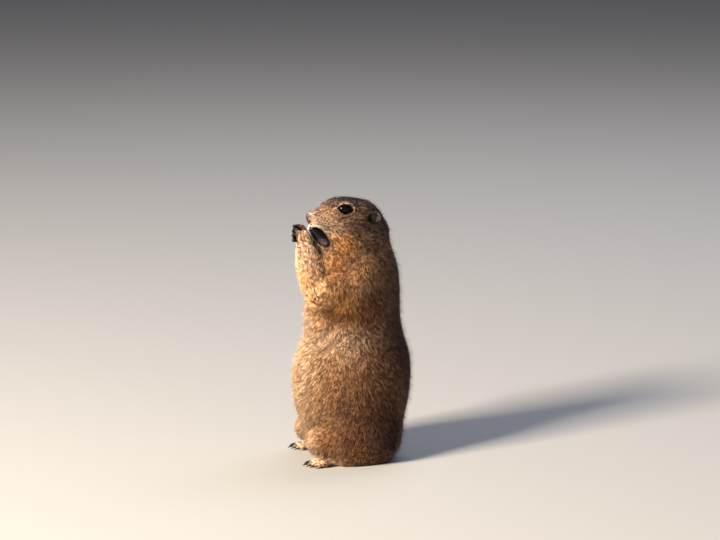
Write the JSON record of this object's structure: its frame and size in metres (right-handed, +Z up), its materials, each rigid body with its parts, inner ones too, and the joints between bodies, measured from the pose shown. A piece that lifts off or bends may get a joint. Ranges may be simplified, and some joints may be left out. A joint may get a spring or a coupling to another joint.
{
  "type": "prairie dog",
  "caption": "Prairie dog sitting up on its haunches, both hands held at its open mouth, tail curled round on the floor.",
  "frame": {"origin": "on the floor, under the middle of the whole box", "axes": "+Z up, -Y the way the animal looks, +X its left side"},
  "size_m": [0.1382, 0.1126, 0.2434],
  "materials": {
    "coat": "short tan fur flecked with brown and black",
    "pale_coat": "short pale buff fur",
    "face_coat": "very short brown fur",
    "claw": "smooth dark horn",
    "eye": "wet black",
    "tooth": "smooth ivory",
    "tongue": "wet dark pink"
  },
  "bodies": {
    "root": {"head": "face_coat", "lower_jaw": "pale_coat", "upper_incisors": "tooth", "lower_incisors": "tooth", "tongue": "tongue", "eye_left": "eye", "ear_left": "face_coat", "foot_left": "pale_coat", "upper_arm_left": "coat", "thigh_left": "coat", "forearm_left": "pale_coat", "hand_left": "pale_coat", "claw_foot_left_1": "claw", "claw_foot_left_2": "claw", "claw_foot_left_3": "claw", "claw_foot_left_4": "claw", "claw_foot_left_5": "claw", "claw_hand_left_1": "claw", "claw_hand_left_2": "claw", "claw_hand_left_3": "claw", "claw_hand_left_4": "claw", "eye_right": "eye", "ear_right": "face_coat", "foot_right": "pale_coat", "upper_arm_right": "coat", "thigh_right": "coat", "forearm_right": "pale_coat", "hand_right": "pale_coat", "claw_foot_right_1": "claw", "claw_foot_right_2": "claw", "claw_foot_right_3": "claw", "claw_foot_right_4": "claw", "claw_foot_right_5": "claw", "claw_hand_right_1": "claw", "claw_hand_right_2": "claw", "claw_hand_right_3": "claw", "claw_hand_right_4": "claw", "tail": "coat", "torso": "coat", "neck": "coat"}
  },
  "joints": []
}
